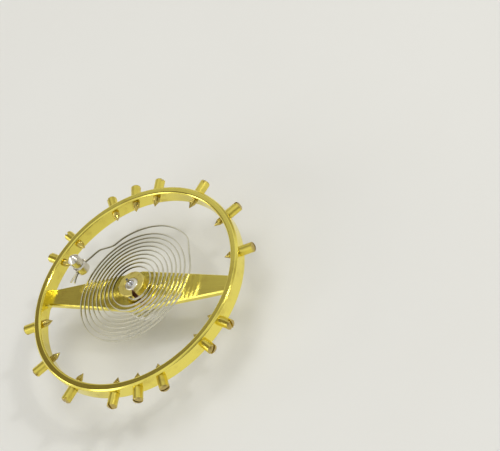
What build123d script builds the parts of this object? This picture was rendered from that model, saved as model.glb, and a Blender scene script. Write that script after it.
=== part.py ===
"""Watch balance wheel with its flat hairspring, lifted out of the movement.

Millimetres. The origin is the tip of the lower pivot, +Z runs up the staff and +X along
one arm of the wheel.
"""

from build123d import *
import os
from math import acos, atan2, cos, degrees, hypot, radians, sin, sqrt

# Wheel: a rim on two tapering arms
rim_radius = 4.40
rim_wall = 0.31
rim_height = 0.594
rim_level = 1.95
rim_outer_chamfer = 0.07
rim_inner_chamfer = 0.05
arm_thickness = 0.25
arm_root_half_width = 0.85
arm_tip_half_width = 0.312
arm_fillet = 0.12

# Screws round the rim, on some of 28 even divisions and the same again half a turn on
screw_divisions = 28
screw_half_steps = (0, 2, 4, 6, 7, 8, 10, 11)
first_screw_angle = 17.0
screw_head_radius = 0.19
screw_head_length = 0.575
screw_head_dome = 0.05
screw_dome_bulge = 0.012
screw_head_chamfer = 0.025
screw_slot_width = 0.07
screw_slot_depth = 0.11
screw_slot_turn = 38.0
screw_thread_radius = 0.14
screw_thread_clearance = 0.006
screw_stub_length = 0.18
screw_cone_length = 0.20

# Staff
pivot_radius = 0.05
pivot_tip_chamfer = 0.015
lower_pivot_length = 0.30
lower_cone_height = 0.16
roller_seat_radius = 0.22
staff_neck_radius = 0.28
staff_flange_radius = 0.50
staff_flange_height = 0.26
hub_seat_radius = 0.33
rivet_radius = 0.41
rivet_height = 0.05
collet_seat_radius = 0.28
collet_seat_chamfer = 0.045
collet_seat_stand = 0.03
upper_cone_radius = 0.145
upper_cone_height = 0.13
upper_pivot_length = 0.156

# Collet and its pin
collet_height = 0.424
collet_chamfer = 0.025
collet_slit_angle = -60.0
collet_slit_bore_width = 0.07
collet_slit_wall_width = 0.17
collet_hole_radius = 0.065
collet_hole_bore_wall = 0.057
collet_hole_wall = 0.07
collet_hole_angle = -125.0
collet_pin_stand = 0.09
fit_clearance = 0.003

# Hairspring: a flat strip on edge
spring_thickness = 0.032
spring_height = 0.08
spring_below_collet_top = 0.11
spring_elbow_gap = 0.10
spring_collet_gap = 0.226
spring_stud_gap = 0.505
spring_turns = 9
spring_drift_share = 0.035
spring_drift_angle = -25.0
spring_oval_share = 0.05
spring_oval_angle = 59.0
spring_arc_angle = 90.0
# The last turn: each angle, and how far out it is between the even spiral and the stud's hole
spring_last_turn_shares = (
    (11.0, 0.13), (22.0, 0.09),
    (29.0, 0.12), (36.0, 0.29),
    (39.5, 0.43), (43.0, 0.575),
    (58.0, 0.59), (74.0, 0.50),
    (91.0, 0.32), (108.0, 0.20),
    (118.0, 0.14), (128.0, 0.095),
    (132.0, 0.25), (136.0, 0.47),
    (139.5, 0.68), (143.0, 0.76),
    (147.5, 0.83), (152.0, 0.94),
)
spring_tail_length = 0.42
spring_tail_bend = 0.13
tail_middle_share = 0.35

# Stud that holds the spring's outer end, and its pin
stud_screw_gap = 0.58
stud_angle = 159.2
stud_radius = 0.27
stud_below_spring = 0.20
stud_body_height = 0.40
stud_neck_height = 0.07
stud_neck_radius = 0.212
stud_post_radius = 0.235
stud_post_height = 0.30
stud_tip_height = 0.20
stud_tip_radius = 0.04
stud_tip_bulge = 0.02
stud_chamfer = 0.03
stud_hole_radius = 0.08
stud_pin_stand = 0.46
stud_pin_back_stand = 0.06
pin_tip_share = 0.7

# Double roller and its jewel, under the wheel
roller_table_radius = 0.78
roller_table_bottom = 0.98
roller_table_thickness = 0.20
roller_hub_radius = 0.36
safety_roller_radius = 0.52
safety_roller_bottom = 0.52
safety_roller_thickness = 0.24
crescent_radius = 0.16
roller_chamfer = 0.03
jewel_radius = 0.15
jewel_edge_wall = 0.085
jewel_flat_share = 0.5
jewel_bottom = 0.60
jewel_angle = 90.0

overrun = 0.20

# Worked out from the sizes above
rim_inner_radius = rim_radius - rim_wall
rim_bottom = rim_level - rim_height / 2
rim_top = rim_level + rim_height / 2
arm_top = rim_bottom + arm_thickness
collet_bottom = arm_top + rivet_height + fit_clearance
collet_top = collet_bottom + collet_height
collet_bore_radius = collet_seat_radius + fit_clearance
collet_hole_reach = collet_bore_radius + collet_hole_bore_wall + collet_hole_radius
collet_radius = collet_hole_reach + collet_hole_radius + collet_hole_wall
spring_level = collet_top - spring_below_collet_top
staff_shoulder = collet_top + collet_seat_stand
staff_top = staff_shoulder + upper_cone_height + upper_pivot_length
roller_table_top = roller_table_bottom + roller_table_thickness
jewel_reach = roller_table_radius - jewel_edge_wall - jewel_radius * jewel_flat_share
stud_reach = (
    rim_inner_radius - screw_stub_length - screw_cone_length - stud_screw_gap - stud_radius
)
stud_bottom = spring_level - stud_below_spring
stud_body_top = stud_bottom + stud_body_height
stud_post_bottom = stud_body_top + stud_neck_height
stud_post_top = stud_post_bottom + stud_post_height
stud_top = stud_post_top + stud_tip_height
stud_centre = Vector(stud_reach * cos(radians(stud_angle)), stud_reach * sin(radians(stud_angle)), 0)
stud_tangent = Vector(-sin(radians(stud_angle)), cos(radians(stud_angle)), 0)

# The strip lies against the wall of each hole it is pinned in, and the pin fills the rest
stud_bow = stud_radius**2 / (2 * stud_reach)
stud_strip_offset = (
    sqrt(stud_hole_radius**2 - (spring_height / 2) ** 2) - spring_thickness / 2 - stud_bow - fit_clearance
)
stud_pin_radius = (stud_hole_radius + stud_strip_offset - spring_thickness / 2) / 2 - fit_clearance
stud_pin_offset = stud_hole_radius - stud_pin_radius - fit_clearance
collet_strip_offset = (
    sqrt(collet_hole_radius**2 - (spring_height / 2) ** 2) - spring_thickness / 2 - fit_clearance
)
collet_pin_radius = (collet_hole_radius + collet_strip_offset - spring_thickness / 2) / 2 - fit_clearance
collet_pin_offset = collet_hole_radius - collet_pin_radius - fit_clearance

spring_inner_radius = collet_radius + spring_collet_gap
spring_outer_radius = stud_reach - spring_stud_gap
spring_pitch = (spring_outer_radius - spring_inner_radius) / spring_turns
spring_stud_radius = stud_reach - stud_strip_offset

screw_angles = [
    first_screw_angle + 360 / screw_divisions * step + half_turn
    for half_turn in (0, 180)
    for step in screw_half_steps
]


def radial_plane(angle, radius, height, turn=0):
    """A plane square to the radius at an angle, its x direction level, or turned up from level."""
    out = Vector(cos(radians(angle)), sin(radians(angle)), 0)
    level = Vector(-sin(radians(angle)), cos(radians(angle)), 0)
    across = level * cos(radians(turn)) + Vector(0, 0, 1) * sin(radians(turn))
    return Plane(origin=out * radius + Vector(0, 0, height), x_dir=across, z_dir=out)


def make_wheel():
    """Rim, two tapering arms and the hub, one piece of brass."""
    with BuildPart() as wheel:
        with BuildSketch(Plane.XZ):
            with BuildLine():
                Polyline(
                    (rim_inner_radius, rim_bottom),
                    (rim_radius, rim_bottom),
                    (rim_radius, rim_top - rim_outer_chamfer),
                    (rim_radius - rim_outer_chamfer, rim_top),
                    (rim_inner_radius + rim_inner_chamfer, rim_top),
                    (rim_inner_radius, rim_top - rim_inner_chamfer),
                    close=True,
                )
            make_face()
        revolve(axis=Axis.Z)
        with BuildSketch(Plane.XY.offset(rim_bottom)):
            for side in (1, -1):
                with BuildLine():
                    Polyline(
                        (0, -arm_root_half_width),
                        (side * (rim_inner_radius + rim_inner_chamfer), -arm_tip_half_width),
                        (side * (rim_inner_radius + rim_inner_chamfer), arm_tip_half_width),
                        (0, arm_root_half_width),
                        close=True,
                    )
                make_face()
            Circle(arm_root_half_width)
            Circle(hub_seat_radius + fit_clearance, mode=Mode.SUBTRACT)
        extrude(amount=arm_thickness)
        corners = wheel.edges().filter_by(Axis.Z).filter_by(
            lambda edge: abs(hypot(edge.center().X, edge.center().Y) - rim_inner_radius) < arm_fillet
        )
        fillet(corners, arm_fillet)
        for angle in screw_angles:
            with BuildSketch(radial_plane(angle, rim_inner_radius - overrun, rim_level)):
                Circle(screw_thread_radius + screw_thread_clearance)
            extrude(amount=rim_wall + 2 * overrun, mode=Mode.SUBTRACT)
    return wheel


def make_screw(index, angle):
    """One slotted screw, its head outside the rim and its point inside."""
    out = Vector(cos(radians(angle)), sin(radians(angle)), 0)
    side = Vector(sin(radians(angle)), -cos(radians(angle)), 0)
    centre = Vector(0, 0, rim_level)
    head_end = rim_radius + screw_head_length
    stub_end = rim_inner_radius - screw_stub_length
    with BuildPart() as screw:
        with BuildSketch(Plane(origin=centre, x_dir=out, z_dir=side)):
            with BuildLine():
                Polyline(
                    (head_end - screw_head_dome, screw_head_radius - screw_head_chamfer),
                    (head_end - screw_head_dome - screw_head_chamfer, screw_head_radius),
                    (rim_radius + fit_clearance, screw_head_radius),
                    (rim_radius + fit_clearance, screw_thread_radius),
                    (stub_end, screw_thread_radius),
                    (stub_end - screw_cone_length, 0),
                    (head_end, 0),
                )
                SagittaArc(
                    (head_end, 0),
                    (head_end - screw_head_dome, screw_head_radius - screw_head_chamfer),
                    screw_dome_bulge,
                )
            make_face()
        revolve(axis=Axis(centre, out))
        slot_bottom = head_end - screw_head_dome - screw_slot_depth
        with BuildSketch(radial_plane(angle, slot_bottom, rim_level, screw_slot_turn * index)):
            Rectangle(2 * (screw_head_radius + overrun), screw_slot_width)
        extrude(amount=screw_slot_depth + screw_head_dome + overrun, mode=Mode.SUBTRACT)
    return screw


def make_staff():
    """The steel axle with its two pivots, the wheel's seat and the collet's seat."""
    flange_bottom = rim_bottom - staff_flange_height
    with BuildPart() as staff:
        with BuildSketch(Plane.XZ):
            with BuildLine():
                Polyline(
                    (0, 0),
                    (pivot_radius - pivot_tip_chamfer, 0),
                    (pivot_radius, pivot_tip_chamfer),
                    (pivot_radius, lower_pivot_length),
                    (roller_seat_radius, lower_pivot_length + lower_cone_height),
                    (roller_seat_radius, roller_table_top + fit_clearance),
                    (staff_neck_radius, roller_table_top + fit_clearance),
                    (staff_neck_radius, flange_bottom),
                    (staff_flange_radius, flange_bottom),
                    (staff_flange_radius, rim_bottom),
                    (hub_seat_radius, rim_bottom),
                    (hub_seat_radius, arm_top),
                    (rivet_radius, arm_top),
                    (hub_seat_radius, arm_top + rivet_height),
                    (collet_seat_radius, arm_top + rivet_height),
                    (collet_seat_radius, staff_shoulder - collet_seat_chamfer),
                    (collet_seat_radius - collet_seat_chamfer, staff_shoulder),
                    (upper_cone_radius, staff_shoulder),
                    (pivot_radius, staff_shoulder + upper_cone_height),
                    (pivot_radius, staff_top - pivot_tip_chamfer),
                    (pivot_radius - pivot_tip_chamfer, staff_top),
                    (0, staff_top),
                    close=True,
                )
            make_face()
        revolve(axis=Axis.Z)
    return staff


def make_collet():
    """The split brass ring on the staff that the spring's inner end is pinned in."""
    slit = Vector(cos(radians(collet_slit_angle)), sin(radians(collet_slit_angle)), 0)
    with BuildPart() as collet:
        with BuildSketch(Plane.XY.offset(collet_bottom)):
            Circle(collet_radius)
            Circle(collet_bore_radius, mode=Mode.SUBTRACT)
        extrude(amount=collet_height)
        rounds = collet.edges().filter_by(GeomType.CIRCLE)
        chamfer(rounds.filter_by(lambda edge: edge.radius > collet_hole_reach), collet_chamfer)
        with BuildSketch(Plane(origin=(0, 0, collet_bottom), x_dir=slit, z_dir=(0, 0, 1))):
            with BuildLine():
                Polyline(
                    (0, -collet_slit_bore_width / 2),
                    (collet_bore_radius, -collet_slit_bore_width / 2),
                    (collet_radius, -collet_slit_wall_width / 2),
                    (collet_radius + overrun, -collet_slit_wall_width / 2),
                    (collet_radius + overrun, collet_slit_wall_width / 2),
                    (collet_radius, collet_slit_wall_width / 2),
                    (collet_bore_radius, collet_slit_bore_width / 2),
                    (0, collet_slit_bore_width / 2),
                    close=True,
                )
            make_face()
        extrude(amount=collet_height, mode=Mode.SUBTRACT)
        with BuildSketch(collet_hole_plane(collet_hole_reach, -collet_radius)):
            Circle(collet_hole_radius)
        extrude(amount=2 * collet_radius, mode=Mode.SUBTRACT)
    return collet


def collet_hole_plane(reach, along):
    """A plane square to the collet's cross hole, at a distance along it and at a reach from the axis."""
    out = Vector(cos(radians(collet_hole_angle)), sin(radians(collet_hole_angle)), 0)
    onward = Vector(-sin(radians(collet_hole_angle)), cos(radians(collet_hole_angle)), 0)
    place = out * reach + onward * along + Vector(0, 0, spring_level)
    return Plane(origin=place, x_dir=(0, 0, 1), z_dir=onward)


def make_collet_pin():
    """The tapered pin that wedges the spring's inner end in the collet."""
    reach = collet_hole_reach - collet_pin_offset
    half_chord = sqrt(collet_radius**2 - reach**2)
    with BuildPart() as pin:
        with BuildSketch(collet_hole_plane(reach, -half_chord - collet_pin_stand)):
            Circle(collet_pin_radius)
        with BuildSketch(collet_hole_plane(reach, half_chord)):
            Circle(collet_pin_radius * pin_tip_share)
        loft(ruled=True)
    return pin


def even_spiral_radius(angle):
    """Radius of the spring's turns at an angle counted on from the collet, a little off true."""
    turns = angle / 360
    drift = spring_drift_share * cos(radians(angle - spring_drift_angle))
    oval = spring_oval_share * cos(2 * radians(angle - spring_oval_angle))
    return spring_inner_radius + spring_pitch * turns * (1 + drift + oval)


def spring_points():
    """The strip's middle line from inside the collet to the tail past the stud."""
    strip_reach = collet_hole_reach + collet_strip_offset
    half_chord = sqrt(collet_radius**2 - strip_reach**2) - fit_clearance
    start_turn = degrees(atan2(half_chord, strip_reach))
    elbow_radius = collet_radius + spring_elbow_gap
    elbow = collet_hole_angle + degrees(acos(strip_reach / elbow_radius))
    polar = [(collet_hole_angle - start_turn, hypot(strip_reach, half_chord))]
    polar.append((elbow, elbow_radius))
    polar.append((elbow / 2, even_spiral_radius(elbow / 2)))
    for half_arc in range(round(720 * spring_turns / spring_arc_angle) + 1):
        angle = spring_arc_angle / 2 * half_arc
        polar.append((angle, even_spiral_radius(angle)))
    for angle, share in spring_last_turn_shares:
        even = even_spiral_radius(360 * spring_turns + angle)
        polar.append((angle, even + share * (spring_stud_radius - even)))
    half_hole = degrees(atan2(stud_radius, stud_reach))
    polar.append((stud_angle, spring_stud_radius))
    polar.append((stud_angle + half_hole, spring_stud_radius))
    tail = degrees(atan2(spring_tail_length, stud_reach))
    polar.append((stud_angle + half_hole + tail / 2, spring_stud_radius - spring_tail_bend * tail_middle_share))
    polar.append((stud_angle + half_hole + tail, spring_stud_radius - spring_tail_bend))
    bottom = spring_level - spring_height / 2
    return [Vector(radius * cos(radians(angle)), radius * sin(radians(angle)), bottom) for angle, radius in polar]


def strip_side(points, offset):
    """The points moved sideways off the line through them, to one face of the strip."""
    side = []
    for index, point in enumerate(points):
        before = points[max(index - 1, 0)]
        after = points[min(index + 1, len(points) - 1)]
        along = (after - before).normalized()
        side.append(point + Vector(along.Y, -along.X, 0) * offset)
    return side


def make_hairspring():
    """The wound strip: one closed outline of arcs of a quarter turn, raised to its height."""
    points = spring_points()
    outer = strip_side(points, spring_thickness / 2)
    inner = strip_side(points, -spring_thickness / 2)
    with BuildPart() as spring:
        with BuildSketch(Plane.XY.offset(spring_level - spring_height / 2)):
            with BuildLine():
                for face in (outer, inner):
                    Line((face[0].X, face[0].Y), (face[1].X, face[1].Y))
                    for start in range(1, len(face) - 2, 2):
                        ThreePointArc(*[(point.X, point.Y) for point in face[start : start + 3]])
                for end in (0, -1):
                    Line((outer[end].X, outer[end].Y), (inner[end].X, inner[end].Y))
            make_face()
        extrude(amount=spring_height)
    half_turn = round(360 / spring_arc_angle)
    gaps = [
        (points[far] - points[near]).length - spring_thickness
        for near in range(1, len(points))
        for far in range(near + half_turn, len(points))
    ]
    print(f"hairspring: {len(points)} points, least gap to itself {min(gaps):.3f} mm")
    return spring


def make_stud():
    """The steel post that the spring's outer end is pinned in."""
    foot = stud_centre + Vector(0, 0, stud_bottom)
    with BuildPart() as stud:
        with BuildSketch(Plane(origin=foot, x_dir=stud_tangent, z_dir=stud_centre.normalized())):
            with BuildLine():
                Polyline(
                    (0, stud_top - stud_bottom),
                    (0, 0),
                    (stud_radius - stud_chamfer, 0),
                    (stud_radius, stud_chamfer),
                    (stud_radius, stud_body_height - stud_chamfer),
                    (stud_neck_radius, stud_body_height),
                    (stud_neck_radius, stud_post_bottom - stud_chamfer - stud_bottom),
                    (stud_post_radius, stud_post_bottom - stud_bottom),
                    (stud_post_radius, stud_post_top - stud_bottom),
                )
                SagittaArc(
                    (stud_post_radius, stud_post_top - stud_bottom),
                    (stud_tip_radius, stud_top - stud_bottom),
                    -stud_tip_bulge,
                )
                Line((stud_tip_radius, stud_top - stud_bottom), (0, stud_top - stud_bottom))
            make_face()
        revolve(axis=Axis(foot, (0, 0, 1)))
        hole_start = stud_centre - stud_tangent * (stud_radius + overrun) + Vector(0, 0, spring_level)
        with BuildSketch(Plane(origin=hole_start, x_dir=(0, 0, 1), z_dir=stud_tangent)):
            Circle(stud_hole_radius)
        extrude(amount=2 * (stud_radius + overrun), mode=Mode.SUBTRACT)
    return stud


def make_stud_pin():
    """The tapered pin that wedges the spring's outer end in the stud."""
    line = stud_centre * ((stud_reach + stud_pin_offset) / stud_reach) + Vector(0, 0, spring_level)
    start = line - stud_tangent * (stud_radius + stud_pin_back_stand)
    end = line + stud_tangent * (stud_radius + stud_pin_stand)
    with BuildPart() as pin:
        with BuildSketch(Plane(origin=start, x_dir=(0, 0, 1), z_dir=stud_tangent)):
            Circle(stud_pin_radius)
        with BuildSketch(Plane(origin=end, x_dir=(0, 0, 1), z_dir=stud_tangent)):
            Circle(stud_pin_radius * pin_tip_share)
        loft(ruled=True)
    return pin


def make_roller():
    """The double roller: the large table that holds the jewel and the small one with its crescent."""
    jewel_out = Vector(cos(radians(jewel_angle)), sin(radians(jewel_angle)), 0)
    safety_top = safety_roller_bottom + safety_roller_thickness
    with BuildPart() as roller:
        with BuildSketch(Plane.XY.offset(roller_table_bottom)):
            Circle(roller_table_radius)
        extrude(amount=roller_table_thickness)
        chamfer(roller.edges().filter_by(GeomType.CIRCLE), roller_chamfer)
        with BuildSketch(Plane.XY.offset(safety_top)):
            Circle(roller_hub_radius)
        extrude(amount=roller_table_bottom - safety_top)
        with BuildSketch(Plane.XY.offset(safety_roller_bottom)):
            Circle(safety_roller_radius)
            with Locations(jewel_out * safety_roller_radius):
                Circle(crescent_radius, mode=Mode.SUBTRACT)
        extrude(amount=safety_roller_thickness)
        with BuildSketch(Plane.XY.offset(safety_roller_bottom)):
            Circle(roller_seat_radius + fit_clearance)
        extrude(amount=roller_table_top - safety_roller_bottom, mode=Mode.SUBTRACT)
        with BuildSketch(jewel_plane(roller_table_bottom)):
            jewel_outline(jewel_radius + fit_clearance)
        extrude(amount=roller_table_thickness, mode=Mode.SUBTRACT)
    return roller


def jewel_plane(height):
    """A level plane at the jewel's place, its x direction pointing outward."""
    out = Vector(cos(radians(jewel_angle)), sin(radians(jewel_angle)), 0)
    return Plane(origin=out * jewel_reach + Vector(0, 0, height), x_dir=out, z_dir=(0, 0, 1))


def jewel_outline(radius):
    """A circle with its outward side cut flat."""
    Circle(radius)
    with Locations(((1 + jewel_flat_share) * radius, 0)):
        Rectangle(2 * radius, 2 * radius, mode=Mode.SUBTRACT)


def make_jewel():
    """The D-shaped ruby pin that the lever strikes."""
    with BuildPart() as jewel:
        with BuildSketch(jewel_plane(jewel_bottom)):
            jewel_outline(jewel_radius)
        extrude(amount=roller_table_top - jewel_bottom)
    return jewel


os.makedirs("parts", exist_ok=True)
pieces = {
    "balance_wheel": make_wheel(),
    "balance_staff": make_staff(),
    "collet": make_collet(),
    "collet_pin": make_collet_pin(),
    "hairspring": make_hairspring(),
    "hairspring_stud": make_stud(),
    "stud_pin": make_stud_pin(),
    "roller_table": make_roller(),
    "impulse_jewel": make_jewel(),
}
for number, screw_angle in enumerate(screw_angles, 1):
    pieces[f"rim_screw_{number:02d}"] = make_screw(number, screw_angle)
for name, piece in pieces.items():
    piece.part.label = name
    export_step(piece.part, f"parts/{name}.step")
print(f"{len(pieces)} pieces, staff {staff_top:.3f} mm long, stud top at {stud_top:.3f} mm")
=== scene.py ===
"""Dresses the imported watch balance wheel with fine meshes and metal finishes, and sets light and camera.

Sizes are in millimetres in the part's own frame: the origin is the tip of the lower pivot, +Z runs
up the staff and +X along one arm of the wheel. Meshes are written in metres.
"""

import logging
from dataclasses import dataclass, field
from enum import Enum
from math import cos, pi, radians, sin, sqrt
from typing import Optional, Union

import bmesh
import bpy
import numpy as np
from mathutils import Matrix, Vector


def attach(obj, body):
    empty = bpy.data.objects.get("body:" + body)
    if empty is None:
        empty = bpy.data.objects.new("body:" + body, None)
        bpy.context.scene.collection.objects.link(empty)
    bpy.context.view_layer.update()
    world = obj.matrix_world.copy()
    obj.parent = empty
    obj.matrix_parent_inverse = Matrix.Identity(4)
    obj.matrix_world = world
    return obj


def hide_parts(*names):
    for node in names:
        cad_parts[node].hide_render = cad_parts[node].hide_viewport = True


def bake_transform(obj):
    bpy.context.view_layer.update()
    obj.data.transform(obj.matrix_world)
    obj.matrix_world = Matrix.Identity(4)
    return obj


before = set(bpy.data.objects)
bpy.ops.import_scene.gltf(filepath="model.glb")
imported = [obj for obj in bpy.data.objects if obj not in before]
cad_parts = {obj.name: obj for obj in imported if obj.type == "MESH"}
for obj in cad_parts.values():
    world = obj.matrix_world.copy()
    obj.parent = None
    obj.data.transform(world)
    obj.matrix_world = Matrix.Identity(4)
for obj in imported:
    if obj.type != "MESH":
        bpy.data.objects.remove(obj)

MM = 0.001
MERGE_MM = 1e-5
SHARP_ANGLE = radians(28)
# How much of the way along the marks still changes them, on turned faces and on straight ones
TURNED_DRIFT = 0.02
STRAIGHT_DRIFT = 0.03
# Points on the round of a corner, and how far past it the side is held, as a share of its size
ROUND_POINTS = 4
SIDE_HOLD = 1.35
# Steps round a drilled hole or a pin
ROD_SEGMENTS = 32
# The round end of a pin: shares of its radius across and along
PIN_END_SHARES = ((0.6, 0.0), (0.92, 0.18), (1.0, 0.5))
# The least cosine that is divided by
LEAST_COSINE = 1e-3
PHOTO_SIZE = (500, 451)
Colour = tuple[float, float, float]
log = logging.getLogger("balance")


class Grain(Enum):
    """Which way the tool marks run on a metal surface."""

    TURNED = "rings round the staff"
    ALONG_ARM = "straight lines along the arms"
    ROUND_SCREW = "rings round each screw"
    ALONG_STRIP = "lines along the rolled strip"
    POLISHED = "no direction"


class Wire:
    """A number or vector from a node, with arithmetic that adds Math nodes."""

    def __init__(self, sheet: "Sheet", socket: bpy.types.NodeSocket) -> None:
        """Keeps the socket and the sheet of nodes it belongs to."""
        self.sheet = sheet
        self.socket = socket

    def _math(self, operation: str, *values: Union["Wire", float]) -> "Wire":
        """The result of a new Math node whose inputs are the values in order."""
        node = self.sheet.node("ShaderNodeMath", {"operation": operation}, dict(enumerate(values)))
        return Wire(self.sheet, node.outputs[0])

    def __add__(self, other: Union["Wire", float]) -> "Wire":
        """The sum."""
        return self._math("ADD", self, other)

    def __radd__(self, other: float) -> "Wire":
        """The sum, with a number in front."""
        return self._math("ADD", other, self)

    def __sub__(self, other: Union["Wire", float]) -> "Wire":
        """The difference."""
        return self._math("SUBTRACT", self, other)

    def __mul__(self, other: Union["Wire", float]) -> "Wire":
        """The product."""
        return self._math("MULTIPLY", self, other)

    def ease(self, low: float, high: float) -> "Wire":
        """A smooth step from 0 at low to 1 at high."""
        node = self.sheet.node(
            "ShaderNodeMapRange",
            {"interpolation_type": "SMOOTHSTEP"},
            {"Value": self, "From Min": low, "From Max": high},
        )
        return Wire(self.sheet, node.outputs["Result"])


class Sheet:
    """The nodes of one material or of the world."""

    def __init__(self, owner: Union[bpy.types.Material, bpy.types.World]) -> None:
        """Empties the node tree.

        Args:
            owner: The material or the world that the nodes are for.
        """
        owner.use_nodes = True
        self.tree = owner.node_tree
        self.tree.nodes.clear()

    def node(
        self, kind: str, settings: Optional[dict] = None, inputs: Optional[dict] = None
    ) -> bpy.types.Node:
        """Adds a node.

        Args:
            kind: The node's type.
            settings: Its own properties, which are set first.
            inputs: A value or a wire for each input, by name or number.

        Returns:
            The new node.
        """
        made = self.tree.nodes.new(kind)
        for name, value in (settings or {}).items():
            setattr(made, name, value)
        for key, value in (inputs or {}).items():
            if isinstance(value, Wire):
                self.tree.links.new(value.socket, made.inputs[key])
            else:
                made.inputs[key].default_value = value
        return made

    def position(self) -> Wire:
        """Where a point of the piece is.

        Returns:
            The point in millimetres.
        """
        texture = self.node("ShaderNodeTexCoord")
        scaled = self.node(
            "ShaderNodeVectorMath",
            {"operation": "SCALE"},
            {0: Wire(self, texture.outputs["Object"]), "Scale": 1 / MM},
        )
        return Wire(self, scaled.outputs[0])

    def parts(self, vector: Wire) -> tuple[Wire, Wire, Wire]:
        """The three numbers of a vector."""
        split = self.node("ShaderNodeSeparateXYZ", {}, {0: vector})
        return tuple(Wire(self, out) for out in split.outputs)

    def joined(self, x: Union[Wire, float], y: Union[Wire, float], z: Union[Wire, float]) -> Wire:
        """The vector of three numbers."""
        node = self.node("ShaderNodeCombineXYZ", {}, {0: x, 1: y, 2: z})
        return Wire(self, node.outputs[0])

    def noise(self, vector: Wire, per_mm: float, detail: float = 3.0, roughness: float = 0.55) -> Wire:
        """Cloudy noise around a half, with a number of patches to the millimetre."""
        node = self.node(
            "ShaderNodeTexNoise",
            {"noise_dimensions": "3D"},
            {"Vector": vector, "Scale": per_mm, "Detail": detail, "Roughness": roughness},
        )
        return Wire(self, node.outputs["Fac"])

    def mix(self, share: Wire, first: Union[Wire, Colour], second: Union[Wire, Colour]) -> Wire:
        """A colour between two others.

        Args:
            share: How much of the second colour there is.
            first: The colour at 0.
            second: The colour at 1.

        Returns:
            The mixed colour.
        """
        ends = [end if isinstance(end, Wire) else (*end, 1.0) for end in (first, second)]
        node = self.node("ShaderNodeMix", {"data_type": "RGBA"}, {0: share, 6: ends[0], 7: ends[1]})
        return Wire(self, node.outputs[2])

    def bump(self, height: Wire, depth_mm: float) -> Wire:
        """The surface's direction, tilted by a height that varies by about depth_mm."""
        node = self.node(
            "ShaderNodeBump", {}, {"Height": height, "Strength": 1.0, "Distance": depth_mm * MM}
        )
        return Wire(self, node.outputs["Normal"])

    def surface(
        self,
        inputs: dict,
        kind: str = "ShaderNodeBsdfPrincipled",
        output: str = "ShaderNodeOutputMaterial",
    ) -> None:
        """Adds the shader and links it to the output.

        Args:
            inputs: A value or a wire for each of the shader's inputs that is set.
            kind: The shader's type.
            output: The output's type.
        """
        shader = self.node(kind, {}, inputs)
        end = self.node(output)
        self.tree.links.new(shader.outputs[0], end.inputs["Surface"])


@dataclass(frozen=True)
class MetalFinish:
    """A worked metal surface: its colour, tool marks and stains."""

    name: str
    colour: Colour
    stain: Colour
    grain: Grain = Grain.POLISHED
    roughness: float = 0.2
    roughness_spread: float = 0.12
    marks_per_mm: float = 30.0
    marks_depth: float = 0.0006
    marks_shade: float = 0.25
    marks_detail: float = 2.0
    marks_harshness: float = 0.6
    stain_per_mm: float = 1.6
    stain_detail: float = 4.0
    stain_share: float = 0.5
    stain_from: float = 0.45
    stain_full: float = 0.75
    end_reach: Optional[float] = None
    end_blur: float = 0.04
    end: Colour = (0.5, 0.4, 0.1)

    def reach(self, sheet: Sheet, place: Wire) -> Wire:
        """How far a point is from the staff's axis: the length of its x and y.

        Args:
            sheet: The material's nodes.
            place: The point in millimetres.

        Returns:
            The distance in millimetres.
        """
        x, y, _ = sheet.parts(place)
        flat = sheet.node("ShaderNodeVectorMath", {"operation": "LENGTH"}, {0: sheet.joined(x, y, 0.0)})
        return Wire(sheet, flat.outputs["Value"])

    def marks(self, sheet: Sheet, place: Wire) -> Wire:
        """The tool marks as a height from 0 to 1.

        Noise is stretched along the marks: it runs over the distance from the staff and the height
        on turned faces, over the distance alone on the screws, over y and z on the arms, and over
        the height on the strip.

        Args:
            sheet: The material's nodes.
            place: The point in millimetres.

        Returns:
            The height.
        """
        x, y, z = sheet.parts(place)
        reach = self.reach(sheet, place)
        around = {
            Grain.TURNED: lambda: sheet.joined(reach, z, x * TURNED_DRIFT),
            Grain.ALONG_ARM: lambda: sheet.joined(x * STRAIGHT_DRIFT, y, z),
            Grain.ROUND_SCREW: lambda: sheet.joined(reach, 0.0, 0.0),
            Grain.ALONG_STRIP: lambda: sheet.joined(x * STRAIGHT_DRIFT, y * STRAIGHT_DRIFT, z),
            Grain.POLISHED: lambda: place,
        }[self.grain]()
        return sheet.noise(around, self.marks_per_mm, self.marks_detail, self.marks_harshness)

    def material(self) -> bpy.types.Material:
        """Builds the material, once for each finish.

        Cloudy noise gives the stains, and it and the tool marks vary the colour and the roughness.
        The marks also tilt the surface. Past end_reach from the staff the colour is the end's.

        Returns:
            The material.
        """
        known = bpy.data.materials.get(self.name)
        if known:
            return known
        made = bpy.data.materials.new(self.name)
        sheet = Sheet(made)
        place = sheet.position()
        marks = self.marks(sheet, place)
        clouds = sheet.noise(place, self.stain_per_mm, self.stain_detail)
        stained = clouds.ease(self.stain_from, self.stain_full) * self.stain_share
        worn = stained + (marks - 0.5) * self.marks_shade
        colour = sheet.mix(worn.ease(0.0, 1.0), self.colour, self.stain)
        if self.end_reach is not None:
            blur = self.end_blur
            at_end = self.reach(sheet, place).ease(self.end_reach - blur, self.end_reach + blur)
            colour = sheet.mix(at_end, colour, self.end)
        spread = self.roughness_spread
        rough = self.roughness + (clouds - 0.5) * spread + (marks - 0.5) * spread
        tilt = sheet.bump(marks, self.marks_depth)
        sheet.surface({"Base Color": colour, "Metallic": 1.0, "Roughness": rough, "Normal": tilt})
        return made


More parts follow.
